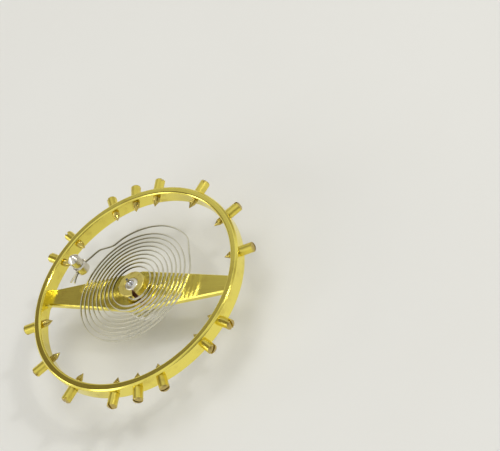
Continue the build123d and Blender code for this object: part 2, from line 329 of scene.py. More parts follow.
@dataclass(frozen=True)
class RubyFinish:
    """Polished clear red stone."""

    name: str = "jewel_stone"
    colour: Colour = (0.72, 0.02, 0.10)
    deep: Colour = (0.40, 0.005, 0.05)
    clouds_per_mm: float = 4.0
    roughness: float = 0.04
    roughness_spread: float = 0.05
    refraction: float = 1.76
    clearness: float = 0.7

    def material(self) -> bpy.types.Material:
        """Builds the stone: clear, with faint growth clouds.

        Returns:
            The material.
        """
        made = bpy.data.materials.new(self.name)
        sheet = Sheet(made)
        clouds = sheet.noise(sheet.position(), self.clouds_per_mm)
        sheet.surface(
            {
                "Base Color": sheet.mix(clouds, self.colour, self.deep),
                "Roughness": self.roughness + clouds * self.roughness_spread,
                "IOR": self.refraction,
                "Transmission Weight": self.clearness,
            }
        )
        return made


@dataclass(frozen=True)
class FloorFinish:
    """Matt pale card with a faint tooth."""

    name: str = "floor_card"
    colour: Colour = (0.80, 0.80, 0.77)
    shade: Colour = (0.775, 0.77, 0.735)
    clouds_per_mm: float = 0.12
    tooth_per_mm: float = 6.0
    tooth_depth: float = 0.004
    roughness: float = 0.85
    shine: float = 0.2

    def material(self) -> bpy.types.Material:
        """Builds the floor's material: two near shades in wide clouds, and a fine tooth.

        Returns:
            The material.
        """
        made = bpy.data.materials.new(self.name)
        sheet = Sheet(made)
        place = sheet.position()
        tooth = sheet.noise(place, self.tooth_per_mm)
        sheet.surface(
            {
                "Base Color": sheet.mix(sheet.noise(place, self.clouds_per_mm), self.colour, self.shade),
                "Roughness": self.roughness,
                "Specular IOR Level": self.shine,
                "Normal": sheet.bump(tooth, self.tooth_depth),
            }
        )
        return made


@dataclass
class Shell:
    """Points and faces of one piece in millimetres, gathered from grids."""

    points: list = field(default_factory=list)
    faces: list = field(default_factory=list)
    paints: list = field(default_factory=list)
    count: int = 0

    def grid(
        self, grid: np.ndarray, wrap_rows: bool = False, wrap_columns: bool = False, paint: int = 0
    ) -> None:
        """Joins the neighbouring points of a grid by four-sided faces.

        Args:
            grid: Rows by columns by three.
            wrap_rows: Joins the last row to the first.
            wrap_columns: Joins the last column to the first.
            paint: The number of the material slot.
        """
        rows, columns = grid.shape[:2]
        index = np.arange(rows * columns).reshape(rows, columns) + self.count
        if wrap_rows:
            index = np.vstack([index, index[:1]])
        if wrap_columns:
            index = np.hstack([index, index[:, :1]])
        corners = (index[:-1, :-1], index[1:, :-1], index[1:, 1:], index[:-1, 1:])
        quads = np.stack(corners, axis=-1).reshape(-1, 4)
        self.points.append(grid.reshape(-1, 3))
        self.faces.extend(quads.tolist())
        self.paints.extend([paint] * len(quads))
        self.count += rows * columns

    def lid(self, ring: np.ndarray, paint: int = 0) -> None:
        """Closes a ring of points by one flat face.

        Args:
            ring: The points in order round the ring.
            paint: The number of the material slot.
        """
        self.points.append(ring)
        self.faces.append(list(range(self.count, self.count + len(ring))))
        self.paints.append(paint)
        self.count += len(ring)

    def piece(self, name: str, finishes: list) -> bpy.types.Object:
        """Makes the Blender object.

        Equal points are merged, which closes seams and poles, then the faces are turned outwards
        and edges sharper than SHARP_ANGLE stay crisp.

        Args:
            name: The piece's name.
            finishes: Its finishes in the order of the paint numbers.

        Returns:
            The object, at the origin.
        """
        mesh = bpy.data.meshes.new(name)
        mesh.from_pydata(np.concatenate(self.points) * MM, [], self.faces)
        mesh.polygons.foreach_set("material_index", np.array(self.paints, dtype=np.int32))
        edit = bmesh.new()
        edit.from_mesh(mesh)
        bmesh.ops.remove_doubles(edit, verts=edit.verts, dist=MERGE_MM * MM)
        bmesh.ops.recalc_face_normals(edit, faces=edit.faces)
        edit.to_mesh(mesh)
        edit.free()
        made = bpy.data.objects.new(name, mesh)
        bpy.context.scene.collection.objects.link(made)
        for finish in finishes:
            mesh.materials.append(finish.material())
        smooth(mesh)
        return made


def smooth(mesh: bpy.types.Mesh) -> None:
    """Shades a mesh smooth, except over edges sharper than SHARP_ANGLE.

    Args:
        mesh: The mesh, which is changed.
    """
    mesh.polygons.foreach_set("use_smooth", np.ones(len(mesh.polygons), dtype=bool))
    mesh.set_sharp_from_angle(angle=SHARP_ANGLE)
    mesh.update()


def dress(piece: bpy.types.Object, body: str, node: str) -> None:
    """Makes a piece move with a body and stand in for a solid.

    Args:
        piece: The new piece.
        body: The body it rides with.
        node: The solid it replaces.
    """
    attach(piece, body)
    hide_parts(node)


def arc(start: tuple[float, float], end: tuple[float, float], rise: float, steps: int) -> np.ndarray:
    """Points of a shallow arc.

    The chord plus a parabola that rises by `rise` at its middle, to the left of the way from start
    to end.

    Args:
        start: The first point.
        end: The last point.
        rise: The height over the chord's middle.
        steps: How many stretches.

    Returns:
        The points, one row each.
    """
    share = np.linspace(0, 1, steps + 1)[:, None]
    first, last = np.array(start), np.array(end)
    along = (last - first) / np.linalg.norm(last - first)
    left = np.array([-along[1], along[0]])
    return first + (last - first) * share + left * rise * 4 * share * (1 - share)


def rounded(outline: Union[list, np.ndarray], size: float, closed: bool = False) -> np.ndarray:
    """Rounds the corners of an outline.

    Each corner becomes a parabola that touches both sides at `size` from the corner, or at a third
    of a short side. A further point on each side keeps the sides' own shading even.

    Args:
        outline: The points, one row each.
        size: How far the round reaches along each side.
        closed: Rounds the first and last point too.

    Returns:
        The new points.
    """
    points = np.array(outline, dtype=float)
    before, after = np.roll(points, 1, axis=0), np.roll(points, -1, axis=0)
    sides = np.stack([before - points, after - points], axis=1)
    length = np.linalg.norm(sides, axis=2, keepdims=True)
    sides = sides / length * np.minimum(size, length / 3)
    near, far = sides[:, :1], sides[:, 1:]
    t = np.linspace(0, 1, ROUND_POINTS)[None, :, None]
    bend = near * (1 - t) ** 2 + far * t**2
    turns = points[:, None] + np.concatenate([near * SIDE_HOLD, bend, far * SIDE_HOLD], axis=1)
    if closed:
        return turns.reshape(-1, 2)
    return np.vstack([points[:1], turns[1:-1].reshape(-1, 2), points[-1:]])


def cut_box(
    left: Union[float, np.ndarray],
    right: Union[float, np.ndarray],
    low: float,
    high: float,
    cuts: tuple[float, float, float, float],
) -> list[tuple]:
    """The outline of a box whose corners are cut off at 45 degrees.

    It runs from the lower end of the left side over the foot, the right side and the top.

    Args:
        left: Where the left side is, for one section or for a row of them.
        right: Where the right side is.
        low: The foot's height.
        high: The top's height.
        cuts: The cuts at the lower left, the lower right, the upper right and the upper left.

    Returns:
        Eight points.
    """
    first, second, third, fourth = cuts
    return [
        (left, low + first), (left + first, low), (right - second, low), (right, low + second),
        (right, high - third), (right - third, high), (left + fourth, high), (left, high - fourth),
    ]


def round_z(
    radius: Union[float, np.ndarray], turn: np.ndarray, height: Union[float, np.ndarray]
) -> np.ndarray:
    """Points round z: x is radius times the turn's cosine, y radius times its sine, z the height."""
    x, y, z = np.broadcast_arrays(radius * np.cos(turn), radius * np.sin(turn), height)
    return np.stack([x, y, z], axis=-1)


def full_turn(segments: int) -> np.ndarray:
    """Even steps round a circle in radians, without the last, which is the first again."""
    return np.linspace(0, 2 * pi, segments, endpoint=False)


@dataclass(frozen=True)
class Place:
    """Where a turned piece stands: its foot, its axis, and how far it is turned about the axis."""

    foot: tuple[float, float, float] = (0.0, 0.0, 0.0)
    axis: tuple[float, float, float] = (0.0, 0.0, 1.0)
    level: tuple[float, float, float] = (1.0, 0.0, 0.0)
    turn: float = 0.0

    def put(self, local: np.ndarray) -> np.ndarray:
        """Takes points from the piece's own axes to the part's frame.

        The point is the foot plus x times the first side way, y times the second and z times the axis.

        Args:
            local: Points whose z runs along the piece's axis.

        Returns:
            The same points in the part's frame.
        """
        up = np.array(self.axis) / np.linalg.norm(self.axis)
        level = np.array(self.level, dtype=float)
        side = np.cross(up, level)
        first = level * cos(self.turn) + side * sin(self.turn)
        second = np.cross(up, first)
        return np.array(self.foot) + local @ np.array([first, second, up])


def turned(profile: np.ndarray, place: Place, segments: int = 96) -> np.ndarray:
    """A profile of radius and height carried round an axis, as round_z says.

    Args:
        profile: Radius and height of each point.
        place: Where the axis stands.
        segments: How many steps to the full turn.

    Returns:
        A grid, segments by profile points, whose rows wrap round.
    """
    radius, height = profile[:, 0][None, :], profile[:, 1][None, :]
    return place.put(round_z(radius, full_turn(segments)[:, None], height))


def spun(
    name: str, profile: np.ndarray, place: Place, finishes: list, segments: int = 96
) -> bpy.types.Object:
    """Makes a piece that is one profile carried round an axis.

    Args:
        name: The piece's name.
        profile: Radius and height of each point.
        place: Where the axis stands.
        finishes: Its finish, or none.
        segments: How many steps to the full turn.

    Returns:
        The object.
    """
    shell = Shell()
    shell.grid(turned(profile, place, segments), wrap_rows=True)
    return shell.piece(name, finishes)


def drill(target: bpy.types.Object, place: Place, radius: float, low: float, high: float) -> None:
    """Drills a round hole: a closed rod is cut out of the piece and deleted.

    Args:
        target: The piece.
        place: The hole's axis.
        radius: The hole's radius.
        low: Where along the axis the rod starts.
        high: Where it ends.
    """
    rod = np.array([(0.0, low), (radius, low), (radius, high), (0.0, high)])
    cutter = spun("drill", rod, place, [], ROD_SEGMENTS)
    cut = target.modifiers.new("hole", "BOOLEAN")
    cut.operation = "DIFFERENCE"
    cut.solver = "EXACT"
    cut.object = cutter
    bpy.context.view_layer.update()
    graph = bpy.context.evaluated_depsgraph_get()
    whole = target.data
    target.data = bpy.data.meshes.new_from_object(target.evaluated_get(graph))
    target.modifiers.clear()
    bpy.data.objects.remove(cutter)
    bpy.data.meshes.remove(whole)
    smooth(target.data)


def taper_pin(
    name: str, place: Place, radius: float, tip_share: float, length: float
) -> bpy.types.Object:
    """Makes a taper pin: an even cone with a small round at both ends.

    Args:
        name: The piece's name.
        place: Where its thick end stands, and its axis.
        radius: The radius at the thick end.
        tip_share: The thin end's radius as a share of the thick one's.
        length: How long the pin is.

    Returns:
        The object.
    """
    tip = radius * tip_share
    root_end = [(radius * across, radius * along) for across, along in PIN_END_SHARES]
    tip_end = [(tip * across, length - tip * along) for across, along in reversed(PIN_END_SHARES)]
    profile = np.array([(0.0, 0.0), *root_end, *tip_end, (0.0, length)])
    return spun(name, profile, place, [pin_finish], ROD_SEGMENTS)


def smooth_through(knots: np.ndarray, values: np.ndarray, where: np.ndarray) -> np.ndarray:
    """A smooth curve through points.

    A cubic on each stretch, whose slope at a knot is the slope between the knot's neighbours.

    Args:
        knots: Rising positions.
        values: The value at each.
        where: The positions wanted.

    Returns:
        The values there.
    """
    slope = np.gradient(values, knots)
    index = np.clip(np.searchsorted(knots, where, side="right") - 1, 0, len(knots) - 2)
    step = knots[index + 1] - knots[index]
    t = (where - knots[index]) / step
    left = (2 * t**3 - 3 * t**2 + 1) * values[index] + (t**3 - 2 * t**2 + t) * step * slope[index]
    right = (3 * t**2 - 2 * t**3) * values[index + 1] + (t**3 - t**2) * step * slope[index + 1]
    return left + right


GILT: Colour = (0.96, 0.835, 0.175)
GILT_DULL: Colour = (0.62, 0.46, 0.08)
STEEL: Colour = (0.74, 0.74, 0.72)
STEEL_DULL: Colour = (0.46, 0.45, 0.42)
rim_finish = MetalFinish("rim_gilt", GILT, GILT_DULL, Grain.TURNED, roughness=0.16)
arm_finish = MetalFinish("arm_gilt", GILT, GILT_DULL, Grain.ALONG_ARM, roughness=0.20)
# Past end_reach the head turns a duller brown: partly the turned end's own duller tone, partly painted
# shade on the slot's walls, which lie in that band.
head_finish = MetalFinish(
    "screw_head_gilt", (0.88, 0.74, 0.14), (0.44, 0.32, 0.06), Grain.ROUND_SCREW,
    roughness=0.33, end_reach=4.90, end=(0.56, 0.43, 0.15),
)
# The threaded shank and point are coloured far darker than the head: their dark second colour covers most
# of them.
thread_finish = MetalFinish(
    "screw_thread_brass", (0.62, 0.50, 0.14), (0.16, 0.11, 0.03), Grain.ROUND_SCREW,
    roughness=0.20, stain_share=0.9,
)
collet_finish = MetalFinish(
    "collet_gilt", (0.97, 0.83, 0.24), (0.66, 0.51, 0.12), Grain.TURNED,
    roughness=0.36, stain_per_mm=5.0, stain_share=0.7,
)
pin_finish = MetalFinish(
    "taper_pin_gilt", (0.96, 0.92, 0.72), (0.78, 0.71, 0.48), Grain.POLISHED,
    roughness=0.25, marks_shade=0.06,
)
# The staff's one steel in three painted tones: the shoulder pale cream as a painted highlight, the cone
# darker grey and the pivot near black as painted shade.
shoulder_painted_highlight_finish = MetalFinish(
    "shoulder_steel_painted_highlight", (0.88, 0.85, 0.73), STEEL, Grain.TURNED,
    roughness=0.36, roughness_spread=0.05, stain_share=0.2,
)
cone_painted_shade_finish = MetalFinish(
    "cone_steel_painted_shade", (0.60, 0.60, 0.62), (0.30, 0.30, 0.32), Grain.TURNED, roughness=0.18
)
pivot_painted_shade_finish = MetalFinish(
    "pivot_steel_painted_shade", (0.22, 0.22, 0.24), (0.12, 0.12, 0.13), Grain.TURNED, roughness=0.24
)
# The slit's two cut faces are painted dark reddish brown: painted shade inside the narrow slit.
slit_painted_shade_finish = MetalFinish(
    "slit_painted_shade_brass", (0.58, 0.34, 0.26), (0.30, 0.16, 0.13), Grain.POLISHED, roughness=0.35
)
spring_finish = MetalFinish(
    "spring_face_steel", (0.73, 0.71, 0.61), (0.52, 0.50, 0.40), Grain.ALONG_STRIP, roughness=0.24
)
# The strip's top edge is painted a little paler as painted light, and its face towards the staff is
# painted dark as painted shade.
spring_edge_painted_light_finish = MetalFinish(
    "spring_edge_painted_light_steel", (0.80, 0.78, 0.64), (0.56, 0.54, 0.42), Grain.ALONG_STRIP, roughness=0.50
)
spring_back_painted_shade_finish = MetalFinish(
    "spring_back_painted_shade_steel", (0.28, 0.26, 0.18), (0.14, 0.13, 0.08), Grain.ALONG_STRIP, roughness=0.24
)
# The polished steel is tinted tan as a painted reflection of the warm card around the stud.
stud_finish = MetalFinish(
    "stud_polished_steel", (0.76, 0.72, 0.62), STEEL_DULL, Grain.TURNED,
    roughness=0.12, roughness_spread=0.06,
)
# The steel is brightened to near white as painted light, so that its edge, which mirrors the shaded floor
# under the wheel, shows no dark line.
roller_finish = MetalFinish("roller_satin_steel", (0.94, 0.93, 0.87), STEEL, Grain.TURNED, roughness=0.55)


@dataclass
class Wheel:
    """The rim and its two arms."""

    rim_radius: float = 4.40
    rim_wall: float = 0.31
    rim_height: float = 0.594
    rim_level: float = 1.95
    outer_chamfer: float = 0.07
    inner_chamfer: float = 0.05
    foot_chamfer: float = 0.02
    arm_thickness: float = 0.25
    arm_root_half_width: float = 0.85
    arm_tip_half_width: float = 0.312
    arm_fillet: float = 0.12
    arm_edge: float = 0.046
    arm_crowding: float = 1.8
    edge: float = 0.022
    rim_segments: int = 400
    arm_steps: int = 160

    @property
    def rim_inner(self) -> float:
        """Radius of the rim's inner wall."""
        return self.rim_radius - self.rim_wall

    @property
    def bottom(self) -> float:
        """Height of the rim's lower face."""
        return self.rim_level - self.rim_height / 2

    @property
    def top(self) -> float:
        """Height of the rim's upper face."""
        return self.rim_level + self.rim_height / 2

    @property
    def arm_top(self) -> float:
        """Height of the arms' upper face."""
        return self.bottom + self.arm_thickness

    def rim(self) -> np.ndarray:
        """The rim: its section, an outline with cut corners, carried round the staff.

        Returns:
            The grid, which wraps both ways.
        """
        cuts = (self.foot_chamfer, self.foot_chamfer, self.outer_chamfer, self.inner_chamfer)
        section = cut_box(self.rim_inner, self.rim_radius, self.bottom, self.top, cuts)
        return turned(rounded(section, self.edge, closed=True), Place(), self.rim_segments)

    def arms(self) -> np.ndarray:
        """Both arms: a section with cut corners carried along x.

        The half width falls evenly from the middle to the rim, and swells by a quarter circle where
        it meets the rim: radius minus the root of radius squared less the way in squared. The
        sections crowd towards the rim: one less the way left to the power arm_crowding.

        Returns:
            The grid, sections by corners, whose columns wrap round.
        """
        end = self.rim_inner + self.rim_wall / 2
        x = np.linspace(-1, 1, self.arm_steps + 1)
        x = np.sign(x) * end * (1 - (1 - np.abs(x)) ** self.arm_crowding)
        root = sqrt(self.rim_inner**2 - self.arm_tip_half_width**2)
        narrowing = self.arm_root_half_width - self.arm_tip_half_width
        slope = narrowing / (self.rim_inner + self.inner_chamfer)
        half = self.arm_root_half_width - slope * np.abs(x)
        into = np.clip(np.abs(x) - (root - self.arm_fillet), 0, self.arm_fillet)
        half = half + self.arm_fillet - np.sqrt(self.arm_fillet**2 - into**2)
        widest = self.arm_tip_half_width + self.arm_fillet
        half = np.where(np.abs(x) > self.rim_inner, np.minimum(half, widest), half)
        section = cut_box(-half, half, self.bottom, self.arm_top, (self.arm_edge,) * 4)
        rows = [np.stack([x, y, np.full_like(x, z)], axis=-1) for y, z in section]
        return np.stack(rows, axis=1)

    def build(self) -> bpy.types.Object:
        """Makes the wheel as one piece.

        Returns:
            The object.
        """
        shell = Shell()
        shell.grid(self.rim(), wrap_rows=True, wrap_columns=True, paint=0)
        arms = self.arms()
        shell.grid(arms, wrap_columns=True, paint=1)
        shell.lid(arms[0], paint=1)
        shell.lid(arms[-1], paint=1)
        wheel = shell.piece("wheel", [rim_finish, arm_finish])
        dress(wheel, "balance", "balance_wheel")
        return wheel


@dataclass
class RimScrews:
    """The sixteen timing screws, eight and the same again half a turn on."""

    wheel: Wheel
    divisions: int = 28
    half_steps: tuple[int, ...] = (0, 2, 4, 6, 7, 8, 10, 11)
    first_angle: float = 17.0
    head_radius: float = 0.19
    head_length: float = 0.575
    head_gap: float = 0.003
    dome: float = 0.05
    chamfer: float = 0.025
    slot_width: float = 0.07
    slot_depth: float = 0.11
    slot_turn: float = 38.0
    thread_radius: float = 0.14
    thread_depth: float = 0.030
    thread_pitch: float = 0.060
    stub_length: float = 0.18
    cone_length: float = 0.20
    cone_radius_shares: tuple[float, ...] = (1.0, 0.55, 0.12, 0.0)
    cone_height_shares: tuple[float, ...] = (0.0, 0.45, 0.92, 1.0)
    head_steps: int = 28
    dome_steps: int = 10
    thread_segments: int = 28
    rows_per_thread: int = 6

    def angles(self) -> list[float]:
        """The angle of each screw in degrees."""
        step = 360 / self.divisions
        return [self.first_angle + step * count + half for half in (0, 180) for count in self.half_steps]

    def head(self) -> np.ndarray:
        """A slotted head about its own axis, with its slot along y.

        Lines across the slot: each climbs the wall, crosses the domed end and comes down the other
        side. The end's height falls with the square of the distance from the middle, then by the
        chamfer, and between the slot's two walls it is the slot's floor.

        Returns:
            The grid, whose columns wrap round.
        """
        radius, flat = self.head_radius, self.head_radius - self.chamfer
        half_slot = self.slot_width / 2
        length = self.head_length
        floor = length - self.dome - self.slot_depth
        across = radius * np.sin(np.linspace(-pi / 2, pi / 2, self.head_steps + 1))
        outside = across[np.abs(across) > half_slot]
        left, right = outside[outside < 0], outside[outside > 0]
        walls = np.array([-half_slot, -half_slot, half_slot, half_slot])
        across = np.concatenate([left, walls, right])
        cut = np.zeros(len(across), dtype=bool)
        cut[len(left) + 1 : len(left) + 3] = True
        full = np.sqrt(np.maximum(radius**2 - across**2, 0))[:, None]
        inner = np.sqrt(np.maximum(flat**2 - across**2, 0))[:, None]
        spread = np.linspace(-1, 1, self.dome_steps + 1)[None, :]
        along = np.hstack([-full, -full, -full, inner * spread, full, full, full])
        reach = np.hypot(across[:, None], along)
        domed = length - self.dome * (reach / flat) ** 2
        height = np.where(reach > flat, length - self.dome - (reach - flat), domed)
        height[:, [0, -1]] = self.head_gap
        height[:, [1, -2]] = floor
        height = np.where(cut[:, None], np.minimum(height, floor), height)
        return np.stack([across[:, None] + 0 * along, along, height], axis=-1)

    def shank(self) -> np.ndarray:
        """The threaded shank and its point, along minus z from the rim's outer face.

        The radius falls from the crest by the thread's depth times a triangle wave of the height
        over the pitch less the turn, so the thread winds round. The point is a cone with a blunt tip.

        Returns:
            The grid, whose rows wrap round.
        """
        stub = self.wheel.rim_wall + self.stub_length
        count = round(stub / self.thread_pitch * self.rows_per_thread)
        height = np.linspace(0, stub, count + 1)[None, :]
        turn = full_turn(self.thread_segments)[:, None]
        phase = height / self.thread_pitch - turn / (2 * pi)
        wave = 2 * np.abs(phase - np.floor(phase) - 0.5)
        runout = np.clip((stub - height) / self.thread_pitch, 0, 1)
        radius = self.thread_radius - self.thread_depth * (1 - wave * runout)
        cone = np.array(self.cone_radius_shares)[None, :] * (self.thread_radius - self.thread_depth)
        cone_height = stub + np.array(self.cone_height_shares)[None, :] * self.cone_length
        radius = np.hstack([0 * turn, radius, cone + 0 * turn])
        height = np.hstack([0 * turn, height + 0 * turn, cone_height + 0 * turn])
        return round_z(radius, turn, -height)

    def build(self) -> list[bpy.types.Object]:
        """Makes the screws, each riding with the wheel.

        Returns:
            The sixteen objects.
        """
        head, shank = self.head(), self.shank()
        made = []
        for number, angle in enumerate(self.angles(), 1):
            out = (cos(radians(angle)), sin(radians(angle)), 0.0)
            level = (-out[1], out[0], 0.0)
            foot = (out[0] * self.wheel.rim_radius, out[1] * self.wheel.rim_radius, self.wheel.rim_level)
            place = Place(foot, out, level, radians(self.slot_turn * number) - pi / 2)
            shell = Shell()
            shell.grid(place.put(head), wrap_columns=True, paint=0)
            shell.grid(place.put(shank), wrap_rows=True, paint=1)
            screw = shell.piece(f"timing_screw_{number:02d}", [head_finish, thread_finish])
            dress(screw, "balance", f"rim_screw_{number:02d}")
            made.append(screw)
        return made


@dataclass
class Staff:
    """The steel axle with its two pivots."""

    wheel: Wheel
    pivot_radius: float = 0.05
    pivot_chamfer: float = 0.015
    lower_pivot: float = 0.30
    lower_cone: float = 0.16
    roller_seat_radius: float = 0.22
    roller_seat_top: float = 1.183
    neck_radius: float = 0.28
    flange_radius: float = 0.50
    flange_height: float = 0.26
    hub_seat_radius: float = 0.33
    rivet_radius: float = 0.41
    rivet_height: float = 0.05
    collet_seat_radius: float = 0.28
    shoulder: float = 2.41
    shoulder_radius: float = 0.145
    shoulder_chamfer: float = 0.045
    crown: float = 0.028
    upper_cone: float = 0.13
    cone_bulge: float = 0.010
    cone_steps: int = 12
    dark_steps: int = 1
    upper_pivot: float = 0.156
    tip_bulge: float = 0.005
    tip_steps: int = 6
    edge: float = 0.012
    segments: int = 72

    def build(self) -> bpy.types.Object:
        """Makes the staff: a stepped profile turned about z, with its corners rounded.

        The upper cone swells a little and is polished. The shoulder's steel is painted pale cream as a
        painted highlight, the cone's a darker grey as painted shade, and the thin pivot on it is painted
        near black as painted shade, from the cone's last dark_steps steps on.

        Returns:
            The object.
        """
        wheel = self.wheel
        flange_bottom = wheel.bottom - self.flange_height
        top = self.shoulder + self.upper_cone + self.upper_pivot
        cone = arc(
            (self.shoulder_radius, self.shoulder),
            (self.pivot_radius, self.shoulder + self.upper_cone),
            -self.cone_bulge,
            self.cone_steps,
        )
        body = rounded(
            [
                (self.pivot_radius, self.lower_pivot),
                (self.roller_seat_radius, self.lower_pivot + self.lower_cone),
                (self.roller_seat_radius, self.roller_seat_top),
                (self.neck_radius, self.roller_seat_top),
                (self.neck_radius, flange_bottom),
                (self.flange_radius, flange_bottom),
                (self.flange_radius, wheel.bottom),
                (self.hub_seat_radius, wheel.bottom),
                (self.hub_seat_radius, wheel.arm_top),
                (self.rivet_radius, wheel.arm_top),
                (self.hub_seat_radius, wheel.arm_top + self.rivet_height),
                (self.collet_seat_radius, wheel.arm_top + self.rivet_height),
                (self.collet_seat_radius, self.shoulder - self.shoulder_chamfer - self.crown),
                (self.collet_seat_radius - self.shoulder_chamfer, self.shoulder - self.crown),
                (self.shoulder_radius, self.shoulder),
            ],
            self.edge,
        )
        bulge, tip_steps = -self.tip_bulge, self.tip_steps
        lower_tip = arc((0.0, 0.0), (self.pivot_radius, self.pivot_chamfer), bulge, tip_steps)
        upper_tip = arc((self.pivot_radius, top - self.pivot_chamfer), (0.0, top), bulge, tip_steps)
        profile = np.vstack([lower_tip, body, cone[1:], upper_tip])
        steps = turned(profile, Place(), self.segments)
        shoulder_row = len(lower_tip) + len(body) - 1
        pivot_row = shoulder_row + self.cone_steps - self.dark_steps
        shell = Shell()
        # Paint 0 is the shoulder's painted highlight, paint 1 the cone's painted shade, paint 2 the
        # pivot's darker painted shade.
        shell.grid(steps[:, : shoulder_row + 1], wrap_rows=True)
        shell.grid(steps[:, shoulder_row : pivot_row + 1], wrap_rows=True, paint=1)
        shell.grid(steps[:, pivot_row:], wrap_rows=True, paint=2)
        staff = shell.piece("staff", [shoulder_painted_highlight_finish, cone_painted_shade_finish, pivot_painted_shade_finish])
        dress(staff, "balance", "balance_staff")
        return staff


@dataclass
class Collet:
    """The split ring on the staff and the pin that holds the spring's inner end in it."""

    bottom: float = 1.956
    height: float = 0.424
    radius: float = 0.54
    bore: float = 0.283
    chamfer: float = 0.025
    bore_chamfer: float = 0.012
    slit_bore_width: float = 0.07
    slit_wall_width: float = 0.17
    slit_angle: float = -60.0
    hole_radius: float = 0.065
    hole_reach: float = 0.405
    hole_angle: float = -125.0
    level: float = 2.27
    pin_radius: float = 0.0376
    pin_reach: float = 0.3806
    pin_stand: float = 0.09
    pin_tip_share: float = 0.7
    edge: float = 0.012
    segments: int = 120

    def ring(self) -> np.ndarray:
        """The split ring: its section carried round from one wall of the slit to the other.

        A point at radius r starts where the slit's wall cuts that radius: the slit's angle plus the
        angle whose sine is half the slit's width there over r. The slit widens evenly outwards.

        Returns:
            The grid, whose columns wrap round.
        """
        cuts = (self.bore_chamfer, self.chamfer, self.chamfer, self.bore_chamfer)
        section = cut_box(self.bore, self.radius, self.bottom, self.bottom + self.height, cuts)
        section = rounded(section, self.edge, closed=True)
        radius, height = section[:, 0][None, :], section[:, 1][None, :]
        width = np.interp(radius, [self.bore, self.radius], [self.slit_bore_width, self.slit_wall_width])
        start = np.arcsin(width / 2 / radius)
        share = np.linspace(0, 1, self.segments + 1)[:, None]
        turn = radians(self.slit_angle) + start + (2 * pi - 2 * start) * share
        return round_z(radius, turn, height)

    def chord(self, reach: float, along: float) -> np.ndarray:
        """A point on a line along the cross hole.

        Args:
            reach: How far the line passes from the staff.
            along: How far the point is along it from where it is nearest.

        Returns:
            Its x and y.
        """
        heading = radians(self.hole_angle)
        out, onward = np.array([cos(heading), sin(heading)]), np.array([-sin(heading), cos(heading)])
        return out * reach + onward * along

    def hole_place(self, reach: float, along: float) -> Place:
        """Where a rod in the cross hole starts.

        Args:
            reach: How far the rod's axis passes from the staff.
            along: How far along the hole it starts.

        Returns:
            The place.
        """
        foot = self.chord(reach, along)
        onward = self.chord(0.0, 1.0)
        return Place((foot[0], foot[1], self.level), (onward[0], onward[1], 0.0), (0.0, 0.0, 1.0))

    def build(self) -> list[bpy.types.Object]:
        """Makes the ring with its cross hole, and the taper pin.

        Returns:
            The two objects.
        """
        shell = Shell()
        ring = self.ring()
        shell.grid(ring, wrap_columns=True)
        # Paint 1 on the slit's two faces is the slit's dark painted shade.
        shell.lid(ring[0], paint=1)
        shell.lid(ring[-1], paint=1)
        collet = shell.piece("collet_ring", [collet_finish, slit_painted_shade_finish])
        hole = self.hole_place(self.hole_reach, -self.radius)
        drill(collet, hole, self.hole_radius, 0.0, 2 * self.radius)
        half = sqrt(self.radius**2 - self.pin_reach**2)
        length = 2 * half + self.pin_stand
        place = self.hole_place(self.pin_reach, -half - self.pin_stand)
        pin = taper_pin("collet_taper_pin", place, self.pin_radius, self.pin_tip_share, length)
        dress(collet, "balance", "collet")
        dress(pin, "balance", "collet_pin")
        return [collet, pin]


@dataclass
class Stud:
    """The steel post that holds the spring's outer end, and its pin."""

    reach: float = 2.86
    angle: float = 159.2
    radius: float = 0.27
    bottom: float = 2.07
    body_height: float = 0.40
    neck_height: float = 0.07
    neck_radius: float = 0.212
    post_radius: float = 0.235
    post_height: float = 0.30
    tip_height: float = 0.20
    tip_radius: float = 0.04
    tip_bulge: float = 0.004
    tip_steps: int = 12
    crown_slope: float = 0.004
    crown_bulge: float = 0.002
    crown_steps: int = 3
    chamfer: float = 0.03
    edge: float = 0.01
    hole_radius: float = 0.08
    drill_reach: float = 1.5
    level: float = 2.27
    pin_radius: float = 0.0478
    pin_offset: float = 0.0292
    pin_stand: float = 0.46
    pin_back_stand: float = 0.06
    pin_tip_share: float = 0.7

    def out(self) -> np.ndarray:
        """The way from the staff to the stud."""
        return np.array([cos(radians(self.angle)), sin(radians(self.angle)), 0.0])

    def tangent(self) -> np.ndarray:
        """The way the spring passes through the stud."""
        return np.array([-sin(radians(self.angle)), cos(radians(self.angle)), 0.0])

    def build(self) -> list[bpy.types.Object]:
        """Makes the post, turned about its own axis and drilled across, and the taper pin.

        Returns:
            The two objects.
        """
        post_bottom = self.body_height + self.neck_height
        post_top = post_bottom + self.post_height
        top = post_top + self.tip_height
        tip = arc((self.post_radius, post_top), (self.tip_radius, top), -self.tip_bulge, self.tip_steps)
        middle = (0.0, top + self.crown_slope)
        crown = arc((self.tip_radius, top), middle, -self.crown_bulge, self.crown_steps)
        crown[:, 1] -= self.crown_slope
        foot = [
            (0.0, 0.0),
            (self.radius - self.chamfer, 0.0),
            (self.radius, self.chamfer),
            (self.radius, self.body_height - self.chamfer),
            (self.neck_radius, self.body_height),
            (self.neck_radius, post_bottom - self.chamfer),
            (self.post_radius, post_bottom),
            (self.post_radius, post_top),
            tuple(tip[1]),
        ]
        profile = np.vstack([rounded(foot, self.edge), tip[2:], crown])
        centre = self.out() * self.reach
        stud = spun("stud_post", profile, Place((centre[0], centre[1], self.bottom)), [stud_finish])
        across = tuple(self.tangent())
        span = self.radius * self.drill_reach
        hole = Place((centre[0], centre[1], self.level), across, (0.0, 0.0, 1.0))
        drill(stud, hole, self.hole_radius, -span, span)
        line = self.out() * (self.reach + self.pin_offset)
        start = line - self.tangent() * (self.radius + self.pin_back_stand)
        length = 2 * self.radius + self.pin_back_stand + self.pin_stand
        place = Place((start[0], start[1], self.level), across, (0.0, 0.0, 1.0))
        pin = taper_pin("stud_taper_pin", place, self.pin_radius, self.pin_tip_share, length)
        dress(stud, "stud", "hairspring_stud")
        dress(pin, "stud", "stud_pin")
        return [stud, pin]


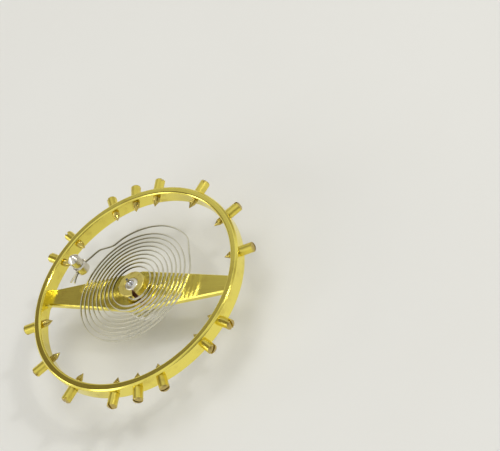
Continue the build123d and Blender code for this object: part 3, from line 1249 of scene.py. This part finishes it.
@dataclass
class Hairspring:
    """The flat spring: a thin strip on edge, wound from the collet out to the stud."""

    collet: Collet
    stud: Stud
    thickness: float = 0.032
    height: float = 0.08
    edge: float = 0.004
    level: float = 2.27
    inner_radius: float = 0.766
    outer_radius: float = 2.355
    stud_radius: float = 2.8225
    turns: int = 9
    drift_share: float = 0.035
    drift_angle: float = -25.0
    oval_share: float = 0.05
    oval_angle: float = 59.0
    elbow_angle: float = -78.1
    elbow_radius: float = 0.64
    elbow_round: float = 7.0
    elbow_lead: float = 0.10
    elbow_points: int = 12
    points_per_turn: int = 360
    strip_reach: float = 0.4372
    run_share: float = 0.6
    run_points: int = 10
    tail_length: float = 0.42
    tail_bend: float = 0.13
    tail_power: float = 1.6
    tail_points: int = 16
    step: float = 0.03
    start_share: float = 0.6
    last_turn: tuple = (
        (0.0, 0.0), (11.0, 0.13), (22.0, 0.09), (29.0, 0.12), (36.0, 0.29), (39.5, 0.43), (43.0, 0.575),
        (58.0, 0.59), (74.0, 0.50), (91.0, 0.32), (108.0, 0.20), (118.0, 0.14), (128.0, 0.095),
        (132.0, 0.25), (136.0, 0.47), (139.5, 0.68), (143.0, 0.76), (147.5, 0.83), (152.0, 0.94),
        (153.8, 1.0),
    )

    def even_radius(self, angle: np.ndarray) -> np.ndarray:
        """Radius of the even turns.

        The inner radius, plus the pitch times the turns so far, stretched a little by a cosine of
        the angle and a cosine of twice the angle.

        Args:
            angle: Degrees counted on from the collet.

        Returns:
            The radius at each angle.
        """
        pitch = (self.outer_radius - self.inner_radius) / self.turns
        drift = self.drift_share * np.cos(np.radians(angle - self.drift_angle))
        oval = self.oval_share * np.cos(2 * np.radians(angle - self.oval_angle))
        return self.inner_radius + pitch * angle / 360 * (1 + drift + oval)

    def radius(self, angle: np.ndarray) -> np.ndarray:
        """Radius at an angle counted on from the collet.

        The last turn is drawn out to the stud. The first stretch, at angles below zero, dips to the
        elbow by the fourth power of the angle over the elbow's.

        Args:
            angle: Degrees counted on from the collet.

        Returns:
            The radius at each angle.
        """
        table = np.array(self.last_turn)
        whole = 360.0 * self.turns
        share = smooth_through(table[:, 0], table[:, 1], np.clip(angle - whole, 0, table[-1, 0]))
        even = self.even_radius(angle)
        dip = self.even_radius(np.array(self.elbow_angle)) - self.elbow_radius
        near = np.clip(angle / self.elbow_angle, 0, 1) ** 4
        return even - dip * near + share * (self.stud_radius - even)

    def line(self) -> np.ndarray:
        """The strip's middle line, evenly spaced, from inside the collet to the tail.

        A straight run through the collet, a rounded elbow, the spiral, a straight run through the
        stud, and a tail that bends in by the share of its length to the power tail_power.

        Returns:
            The points, one row each.
        """
        half = sqrt(self.collet.radius**2 - self.strip_reach**2)
        start = self.collet.chord(self.strip_reach, -half)
        corner = polar(self.elbow_angle, self.radius(np.array([self.elbow_angle])))[0]
        bend = corner + (start - corner) / np.linalg.norm(start - corner) * self.elbow_lead
        first = self.elbow_angle + self.elbow_round
        last = 360.0 * self.turns + self.last_turn[-1][0]
        angles = np.linspace(first, last, self.points_per_turn * self.turns)
        spiral = polar(angles, self.radius(angles))
        share = np.linspace(0, 1, self.elbow_points)[:, None]
        elbow = bend * (1 - share) ** 2 + corner * 2 * share * (1 - share) + spiral[0] * share**2
        out, along = self.stud.out()[:2], self.stud.tangent()[:2]
        run = np.linspace(-self.stud.radius * self.run_share, self.stud.radius, self.run_points)[:, None]
        inside = out * self.stud_radius + along * run
        way = np.linspace(0, 1, self.tail_points)[1:, None]
        tail = inside[-1] + along * self.tail_length * way - out * self.tail_bend * way**self.tail_power
        path = np.vstack([start, elbow, spiral[1:], inside, tail])
        length = np.concatenate([[0], np.cumsum(np.linalg.norm(np.diff(path, axis=0), axis=1))])
        even = np.linspace(0, length[-1], round(length[-1] / self.step))
        return np.stack([np.interp(even, length, path[:, axis]) for axis in (0, 1)], axis=-1)

    def build(self) -> bpy.types.Object:
        """Makes the strip: its section, an outline with cut corners, carried along the line.

        The face away from the staff is bright, the top edge is painted a little paler as painted light and
        is duller, and the face towards the staff is painted dark as painted shade. Each point's share of
        the strip's length, counted from the stud to the collet, is worked out but not stored, so the strip
        does not bend with the joint.

        Returns:
            The object.
        """
        line = self.line()
        along = np.gradient(line, axis=0)
        along /= np.linalg.norm(along, axis=1, keepdims=True)
        side = np.stack([along[:, 1], -along[:, 0]], axis=-1)
        half, tall = self.thickness / 2, self.height / 2
        section = cut_box(-half, half, -tall, tall, (self.edge,) * 4)
        rows = [
            np.column_stack([line + side * offset, np.full(len(line), self.level + rise)])
            for offset, rise in section
        ]
        grid = np.stack(rows, axis=1)
        shell = Shell()
        # Paint 0 is the outer face, paint 1 the top edge painted paler as painted light, paint 2 the inner
        # face painted dark as painted shade.
        for columns, paint in (([1, 2, 3, 4], 0), ([4, 5, 6, 7], 1), ([7, 0, 1], 2)):
            shell.grid(grid[:, columns], paint=paint)
        shell.lid(grid[0])
        shell.lid(grid[-1])
        spring = shell.piece("hairspring_strip", [spring_finish, spring_edge_painted_light_finish, spring_back_painted_shade_finish])
        tuple(self.stud.out() * 0.0028)
        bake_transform(spring)
        self.share_turning(spring, line)
        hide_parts("hairspring")
        return spring

    def share_turning(self, spring: bpy.types.Object, line: np.ndarray) -> None:
        """Works out how much of the joint's turn each point would take: its share of the way from stud to
        collet. Nothing stores the shares, so they move no point.

        Args:
            spring: The strip.
            line: Its middle line.
        """
        points = np.empty(len(spring.data.vertices) * 3, dtype=np.float32)
        spring.data.vertices.foreach_get("co", points)
        points = points.reshape(-1, 3)[:, :2] / MM
        gap = ((points[:, None, :] - line[None, :, :]) ** 2).sum(axis=-1)
        station = gap.argmin(axis=1) / (len(line) - 1)
        whole = len(line) * self.step
        last = 1 - (self.tail_length + 2 * self.stud.radius) / whole
        first = 2 * self.collet.radius / whole * self.start_share
        share = np.clip((last - station) / (last - first), 0, 1)


def polar(angle: Union[float, np.ndarray], radius: np.ndarray) -> np.ndarray:
    """Points at angles in degrees and radii."""
    return np.stack([radius * np.cos(np.radians(angle)), radius * np.sin(np.radians(angle))], axis=-1)


@dataclass
class Roller:
    """The double roller under the wheel and the jewel in its table."""

    table_radius: float = 0.78
    table_bottom: float = 0.98
    table_thickness: float = 0.20
    hub_radius: float = 0.36
    safety_radius: float = 0.52
    safety_bottom: float = 0.52
    safety_thickness: float = 0.24
    crescent_radius: float = 0.16
    chamfer: float = 0.03
    bore: float = 0.223
    jewel_radius: float = 0.15
    jewel_reach: float = 0.62
    jewel_flat_share: float = 0.5
    jewel_bottom: float = 0.60
    jewel_angle: float = 90.0
    jewel_edge: float = 0.015
    segments: int = 240
    jewel_segments: int = 120

    def disc(self, radius: Union[float, np.ndarray], low: float, high: float, edge: float) -> np.ndarray:
        """A disc with a plain bore: a section with cut outer corners, carried round the staff.

        Args:
            radius: The outer radius, one number or one for each step of the turn.
            low: The height of its foot.
            high: The height of its top.
            edge: The cut at its outer corners.

        Returns:
            The grid, which wraps both ways.
        """
        section = cut_box(self.bore, radius, low, high, (0.0, edge, edge, 0.0))
        return np.stack([round_z(r, full_turn(self.segments), z) for r, z in section], axis=1)

    def crescent(self) -> np.ndarray:
        """Outer radius of the small roller round the turn.

        Inside the crescent it is the near side of a circle centred on the roller's edge: R times the
        cosine less the root of c squared less R squared times the sine squared.

        Returns:
            One radius for each step of the turn.
        """
        turn = full_turn(self.segments) - radians(self.jewel_angle)
        square = self.crescent_radius**2 - (self.safety_radius * np.sin(turn)) ** 2
        near = self.safety_radius * np.cos(turn) - np.sqrt(np.maximum(square, 0))
        inside = (square > 0) & (np.cos(turn) > 0)
        return np.where(inside, np.minimum(near, self.safety_radius), self.safety_radius)

    def jewel(self) -> np.ndarray:
        """The stone: a circle cut flat on one side, with a small flat on its lower edge.

        On the flat side the radius is the flat's distance over the turn's cosine.

        Returns:
            The grid, whose rows wrap round.
        """
        turn = full_turn(self.jewel_segments)
        flat = self.jewel_radius * self.jewel_flat_share
        radius = np.minimum(self.jewel_radius, flat / np.maximum(np.cos(turn), LEAST_COSINE))
        radius = np.where(np.cos(turn) > 0, radius, self.jewel_radius)
        low, high, edge = self.jewel_bottom, self.table_bottom + self.table_thickness, self.jewel_edge
        cut = 1 - edge / self.jewel_radius
        section = [(0.0, low), (cut, low), (1.0, low + edge), (1.0, high), (0.0, high)]
        angle = radians(self.jewel_angle)
        centre = np.array([cos(angle) * self.jewel_reach, sin(angle) * self.jewel_reach, 0.0])
        rows = [centre + round_z(radius * share, turn + angle, z) for share, z in section]
        return np.stack(rows, axis=1)

    def build(self) -> list[bpy.types.Object]:
        """Makes the roller and the jewel.

        Returns:
            The two objects.
        """
        shell = Shell()
        table_top = self.table_bottom + self.table_thickness
        safety_top = self.safety_bottom + self.safety_thickness
        parts = (
            (self.table_radius, self.table_bottom, table_top, self.chamfer),
            (self.hub_radius, safety_top, self.table_bottom, 0.0),
            (self.crescent(), self.safety_bottom, safety_top, self.chamfer / 2),
        )
        for radius, low, high, edge in parts:
            shell.grid(self.disc(radius, low, high, edge), wrap_rows=True, wrap_columns=True)
        roller = shell.piece("double_roller", [roller_finish])
        stone = Shell()
        stone.grid(self.jewel(), wrap_rows=True)
        jewel = stone.piece("roller_jewel", [RubyFinish()])
        dress(roller, "balance", "roller_table")
        dress(jewel, "balance", "impulse_jewel")
        return [roller, jewel]


@dataclass(frozen=True)
class Softbox:
    """A square lamp: where it stands, its size, how bright its face is, and whether metal mirrors it."""

    name: str
    azimuth: float
    elevation: float
    distance: float
    size: float
    brightness: float
    mirrored: bool = True

    def build(self) -> bpy.types.Object:
        """Makes the lamp, facing the wheel.

        Returns:
            The object.
        """
        lamp = bpy.data.lights.new(self.name, "AREA")
        lamp.shape = "SQUARE"
        lamp.size = self.size * MM
        lamp.energy = self.brightness * pi * lamp.size**2
        made = bpy.data.objects.new(self.name, lamp)
        bpy.context.scene.collection.objects.link(made)
        away = direction(self.azimuth, self.elevation)
        made.location = away * self.distance * MM
        made.rotation_euler = away.to_track_quat("Z", "Y").to_euler()
        made.visible_camera = False
        made.visible_glossy = self.mirrored
        return made


def direction(azimuth: float, elevation: float) -> Vector:
    """The unit vector towards an azimuth from +X and an elevation, in degrees."""
    level = cos(radians(elevation))
    return Vector((level * cos(radians(azimuth)), level * sin(radians(azimuth)), sin(radians(elevation))))


@dataclass(frozen=True)
class Flag:
    """A round dark patch of the room: even to its middle angle, then fading out to its edge angle."""

    azimuth: float
    elevation: float
    middle: float
    edge: float
    colour: Colour

    def over(self, sheet: Sheet, towards: Wire, room: Union[Wire, Colour]) -> Wire:
        """Lays the patch over the room's light.

        Its share is a smooth step of the cosine of the angle between the direction and its middle.

        Args:
            sheet: The world's nodes.
            towards: The direction.
            room: The light without the patch.

        Returns:
            The light with it.
        """
        middle = tuple(direction(self.azimuth, self.elevation))
        near = sheet.node("ShaderNodeVectorMath", {"operation": "DOT_PRODUCT"}, {0: towards, 1: middle})
        low, high = cos(radians(self.edge)), cos(radians(self.middle))
        share = Wire(sheet, near.outputs["Value"]).ease(low, high)
        return sheet.mix(share, room, self.colour)


@dataclass
class Studio:
    """The floor, the lamps and the sky of the picture."""

    floor_size: float = 1200.0
    floor_drop: float = 0.004
    floor_rings: int = 24
    floor_segments: int = 96
    floor_growth: int = 3
    sky: Colour = (0.75, 0.75, 0.74)
    flags: tuple[Flag, ...] = (
        Flag(178.0, 45.0, 24.0, 33.0, (0.17, 0.14, 0.10)),
        Flag(-39.0, 22.0, 14.0, 30.0, (0.19, 0.17, 0.13)),
        Flag(100.0, 4.0, 22.0, 42.0, (0.36, 0.33, 0.27)),
        Flag(28.0, 42.0, 15.0, 32.0, (0.42, 0.40, 0.34)),
    )
    lamps: tuple[Softbox, ...] = (
        Softbox("key_lamp", 22.0, 41.0, 160.0, 50.0, 3.3, mirrored=False),
        Softbox("spark_lamp", 20.0, 42.0, 160.0, 12.0, 60.0),
        Softbox("top_lamp", 60.0, 78.0, 200.0, 120.0, 2.1, mirrored=False),
        Softbox("side_lamp", -166.0, 18.0, 200.0, 60.0, 3.0),
        Softbox("low_lamp", -127.5, 28.0, 200.0, 74.0, 1.8),
    )

    def floor(self) -> bpy.types.Object:
        """Makes the floor: a flat disc of rings that lie wider apart outwards.

        A ring's radius is the size times the ring's share of the way to the power floor_growth.

        Returns:
            The object.
        """
        radius = self.floor_size * np.linspace(0, 1, self.floor_rings) ** self.floor_growth
        profile = np.stack([radius, np.full_like(radius, -self.floor_drop)], axis=-1)
        floor = spun("floor", profile, Place(), [FloorFinish()], self.floor_segments)
        return floor

    def room(self) -> bpy.types.World:
        """Makes the world: an even pale room with soft dark flags, which the metal mirrors.

        Returns:
            The world.
        """
        world = bpy.data.worlds.new("studio")
        bpy.context.scene.world = world
        sheet = Sheet(world)
        texture = sheet.node("ShaderNodeTexCoord")
        towards = Wire(sheet, texture.outputs["Generated"])
        light = self.sky
        for flag in self.flags:
            light = flag.over(sheet, towards, light)
        sheet.surface({"Color": light}, "ShaderNodeBackground", "ShaderNodeOutputWorld")
        return world

    def build(self) -> None:
        """Makes the floor, the sky and the lamps."""
        self.floor()
        self.room()
        for lamp in self.lamps:
            lamp.build()
        bpy.context.scene.view_settings.view_transform = "Standard"


@dataclass
class Viewpoint:
    """The photograph's camera: where it stands, and where in the picture the wheel's middle falls."""

    target: tuple[float, float, float] = (0.0, 0.0, 1.95)
    azimuth: float = -38.565
    elevation: float = 43.547
    roll: float = -45.487
    distance: float = 68.332
    focal_pixels: float = 1835.74
    target_pixel: tuple[float, float] = (137.007, 289.491)
    sensor: float = 36.0

    def build(self) -> bpy.types.Object:
        """Makes the camera.

        It stands on a line from the target and is turned so that the target falls on its pixel:
        the rotation takes the ray through that pixel to the line of sight.

        Returns:
            The object.
        """
        width, height = PHOTO_SIZE
        away = direction(self.azimuth, self.elevation)
        level = Vector((-sin(radians(self.azimuth)), cos(radians(self.azimuth)), 0.0))
        upright = away.cross(level)
        turn = radians(self.roll)
        right = level * cos(turn) + upright * sin(turn)
        up = upright * cos(turn) - level * sin(turn)
        across = (self.target_pixel[0] - width / 2) / self.focal_pixels
        below = (self.target_pixel[1] - height / 2) / self.focal_pixels
        ray = Vector((across, -below, -1.0))
        aim = ray.rotation_difference(Vector((0.0, 0.0, -1.0))).to_matrix()
        rotation = Matrix((right, up, away)).transposed() @ aim
        data = bpy.data.cameras.new("photo_camera")
        data.sensor_width = self.sensor
        data.lens = self.focal_pixels * self.sensor / width
        data.clip_start = MM
        camera = bpy.data.objects.new("photo_camera", data)
        bpy.context.scene.collection.objects.link(camera)
        place = Vector(self.target) + away * self.distance
        camera.matrix_world = Matrix.Translation(place * MM) @ rotation.to_4x4()
        bpy.context.scene.camera = camera
        return camera


def corners(box: tuple[Vector, Vector]) -> list[list[float]]:
    """A box as plain lists of numbers."""
    return [list(corner) for corner in box]


def main() -> None:
    """Builds every sub-assembly."""
    logging.basicConfig(level=logging.INFO, format="%(name)s: %(message)s")
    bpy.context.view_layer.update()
    wheel = Wheel()
    collet = Collet()
    stud = Stud()
    spring = Hairspring(collet, stud)
    for assembly in (wheel, RimScrews(wheel), Staff(wheel), collet, stud, spring, Roller()):
        made = assembly.build()
        for piece in made if isinstance(made, list) else [made]:
            log.info("%s: %d faces", piece.name, len(piece.data.polygons))
    Studio().build()
    Viewpoint().build()


if __name__ == "__main__":
    main()
